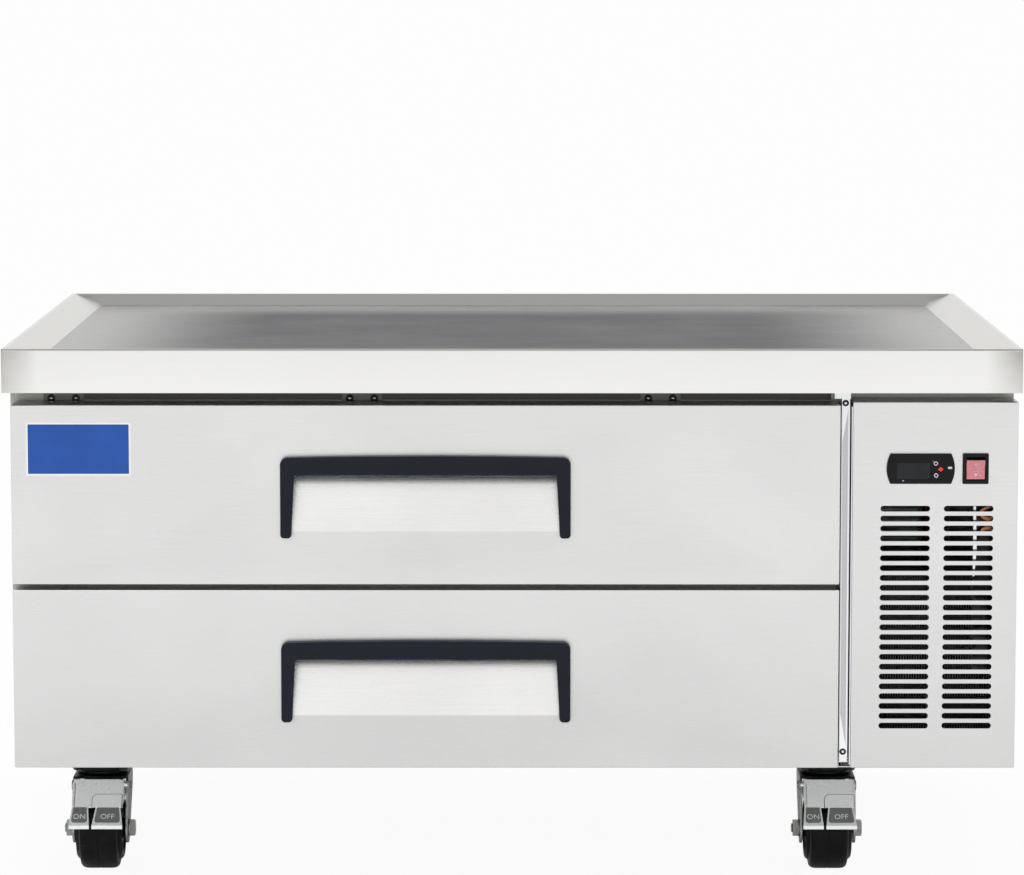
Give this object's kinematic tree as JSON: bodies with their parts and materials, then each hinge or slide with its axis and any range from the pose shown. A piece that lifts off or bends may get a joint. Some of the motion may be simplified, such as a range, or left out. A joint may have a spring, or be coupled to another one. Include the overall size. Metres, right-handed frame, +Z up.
{
  "type": "refrigerated chef base",
  "caption": "Low stainless refrigerated base on braked casters: two insulated full-width drawers on telescopic slides, a side machine compartment and a marine-edge worktop.",
  "frame": {"origin": "on the floor, under the centre of the worktop", "axes": "+X to the right seen from the front, +Y to the back, +Z up; the drawers open towards -Y"},
  "size_m": [1.229, 0.838, 0.676],
  "materials": {
    "brushed_stainless": "satin",
    "worktop_stainless": "satin",
    "bright_trim": "polished",
    "galvanised_sheet": "satin",
    "liner_aluminium": "satin",
    "rigid_foam": "matte",
    "slide_steel": "satin",
    "gasket_grey": "matte",
    "handle_plastic": "matte",
    "controller_black": "gloss",
    "switch_black": "satin",
    "switch_red": "gloss",
    "key_white": "satin",
    "key_red": "satin",
    "caster_black": "satin",
    "caster_zinc": "satin",
    "wheel_rubber": "matte",
    "compressor_black": "satin",
    "coil_fins": "satin",
    "fan_black": "matte",
    "copper_tube": "satin",
    "box_grey": "matte",
    "badge_blue": "gloss"
  },
  "bodies": {
    "cabinet": {"worktop": "worktop_stainless", "cabinet_shell": "brushed_stainless", "cabinet_foam": "rigid_foam", "cabinet_liner": "liner_aluminium", "back_panel": "galvanised_sheet", "front_frame": "brushed_stainless", "mullion_strip": "bright_trim", "rail_frame_right": "slide_steel", "rail_frame_left": "slide_steel", "grille_panel": "brushed_stainless", "unit_tray": "galvanised_sheet", "condenser": "coil_fins", "fan_shroud": "compressor_black", "compressor": "compressor_black", "refrigerant_lines": "copper_tube", "electrical_box": "box_grey", "evaporator_housing": "liner_aluminium", "evaporator": "coil_fins", "controller": "controller_black", "switch_body": "switch_black", "front_left_caster_plate": "caster_black", "front_right_caster_plate": "caster_black", "rear_left_caster_plate": "caster_black", "rear_right_caster_plate": "caster_black"},
    "lower_drawer": {"lower_drawer_shell": "brushed_stainless", "lower_drawer_foam": "rigid_foam", "lower_drawer_liner": "liner_aluminium", "lower_drawer_gasket": "gasket_grey", "lower_drawer_handle": "handle_plastic", "lower_pan_frame": "slide_steel"},
    "upper_drawer": {"upper_drawer_shell": "brushed_stainless", "upper_drawer_foam": "rigid_foam", "upper_drawer_liner": "liner_aluminium", "upper_drawer_gasket": "gasket_grey", "upper_drawer_handle": "handle_plastic", "upper_pan_frame": "slide_steel"},
    "lower_slide_members": {"lower_slide_mid_right": "slide_steel", "lower_slide_mid_left": "slide_steel"},
    "upper_slide_members": {"upper_slide_mid_right": "slide_steel", "upper_slide_mid_left": "slide_steel"},
    "front_left_swivel": {"front_left_caster_fork": "caster_zinc", "front_left_caster_axle": "caster_zinc"},
    "front_left_wheel": {"front_left_caster_wheel": "wheel_rubber"},
    "front_left_brake": {"front_left_brake_pedal": "caster_zinc"},
    "front_right_swivel": {"front_right_caster_fork": "caster_zinc", "front_right_caster_axle": "caster_zinc"},
    "front_right_wheel": {"front_right_caster_wheel": "wheel_rubber"},
    "front_right_brake": {"front_right_brake_pedal": "caster_zinc"},
    "rear_left_swivel": {"rear_left_caster_fork": "caster_zinc", "rear_left_caster_axle": "caster_zinc"},
    "rear_left_wheel": {"rear_left_caster_wheel": "wheel_rubber"},
    "rear_right_swivel": {"rear_right_caster_fork": "caster_zinc", "rear_right_caster_axle": "caster_zinc"},
    "rear_right_wheel": {"rear_right_caster_wheel": "wheel_rubber"},
    "power_rocker": {"switch_rocker": "switch_red"},
    "key_up": {"controller_key_up": "key_white"},
    "key_set": {"controller_key_set": "key_red"},
    "key_down": {"controller_key_down": "key_white"},
    "condenser_rotor": {"condenser_fan": "fan_black"},
    "evaporator_rotor": {"evaporator_fan": "fan_black"}
  },
  "joints": [
    {"name": "lower_drawer_slide", "type": "slide", "parent": "cabinet", "child": "lower_drawer", "axis": [0, -1, 0], "range_m": [0, 0.5]},
    {"name": "upper_drawer_slide", "type": "slide", "parent": "cabinet", "child": "upper_drawer", "axis": [0, -1, 0], "range_m": [0, 0.5]},
    {"name": "lower_slide_follow", "type": "slide", "parent": "cabinet", "child": "lower_slide_members", "axis": [0, -1, 0], "range_m": [0, 0.25]},
    {"name": "upper_slide_follow", "type": "slide", "parent": "cabinet", "child": "upper_slide_members", "axis": [0, -1, 0], "range_m": [0, 0.25]},
    {"name": "front_left_caster_swivel", "type": "hinge", "parent": "cabinet", "child": "front_left_swivel", "pos_m": [-0.519, -0.184, 0.12], "axis": [0, 0, 1], "continuous": true},
    {"name": "front_left_wheel_spin", "type": "hinge", "parent": "front_left_swivel", "child": "front_left_wheel", "pos_m": [-0.519, -0.219, 0.0508], "axis": [1, 0, 0], "continuous": true},
    {"name": "front_left_brake_press", "type": "hinge", "parent": "front_left_swivel", "child": "front_left_brake", "pos_m": [-0.519, -0.222, 0.106], "axis": [1, 0, 0], "range_deg": [0, 8]},
    {"name": "front_right_caster_swivel", "type": "hinge", "parent": "cabinet", "child": "front_right_swivel", "pos_m": [0.3975, -0.184, 0.12], "axis": [0, 0, 1], "continuous": true},
    {"name": "front_right_wheel_spin", "type": "hinge", "parent": "front_right_swivel", "child": "front_right_wheel", "pos_m": [0.3975, -0.219, 0.0508], "axis": [1, 0, 0], "continuous": true},
    {"name": "front_right_brake_press", "type": "hinge", "parent": "front_right_swivel", "child": "front_right_brake", "pos_m": [0.3975, -0.222, 0.106], "axis": [1, 0, 0], "range_deg": [0, 8]},
    {"name": "rear_left_caster_swivel", "type": "hinge", "parent": "cabinet", "child": "rear_left_swivel", "pos_m": [-0.565, 0.33497, 0.12], "axis": [0, 0, 1], "continuous": true},
    {"name": "rear_left_wheel_spin", "type": "hinge", "parent": "rear_left_swivel", "child": "rear_left_wheel", "pos_m": [-0.565, 0.29997, 0.0508], "axis": [1, 0, 0], "continuous": true},
    {"name": "rear_right_caster_swivel", "type": "hinge", "parent": "cabinet", "child": "rear_right_swivel", "pos_m": [0.432, 0.33497, 0.12], "axis": [0, 0, 1], "continuous": true},
    {"name": "rear_right_wheel_spin", "type": "hinge", "parent": "rear_right_swivel", "child": "rear_right_wheel", "pos_m": [0.432, 0.29997, 0.0508], "axis": [1, 0, 0], "continuous": true},
    {"name": "power_rocker_tilt", "type": "hinge", "parent": "cabinet", "child": "power_rocker", "pos_m": [0.5604, -0.3943, 0.5296], "axis": [1, 0, 0], "range_deg": [-16, 0]},
    {"name": "key_up_press", "type": "slide", "parent": "cabinet", "child": "key_up", "axis": [0, 1, 0], "range_m": [0, 0.0007], "stiffness_N_per_m": 400},
    {"name": "key_set_press", "type": "slide", "parent": "cabinet", "child": "key_set", "axis": [0, 1, 0], "range_m": [0, 0.0007], "stiffness_N_per_m": 400},
    {"name": "key_down_press", "type": "slide", "parent": "cabinet", "child": "key_down", "axis": [0, 1, 0], "range_m": [0, 0.0007], "stiffness_N_per_m": 400},
    {"name": "condenser_fan_spin", "type": "hinge", "parent": "cabinet", "child": "condenser_rotor", "pos_m": [0.50698, -0.2302, 0.2725], "axis": [0, 1, 0], "continuous": true},
    {"name": "evaporator_fan_spin", "type": "hinge", "parent": "cabinet", "child": "evaporator_rotor", "pos_m": [0.208, 0.27267, 0.422], "axis": [0, 1, 0], "continuous": true}
  ],
  "couplings": [
    {"joint": "lower_slide_follow", "follows": "lower_drawer_slide", "ratio": 0.5},
    {"joint": "upper_slide_follow", "follows": "upper_drawer_slide", "ratio": 0.5}
  ]
}
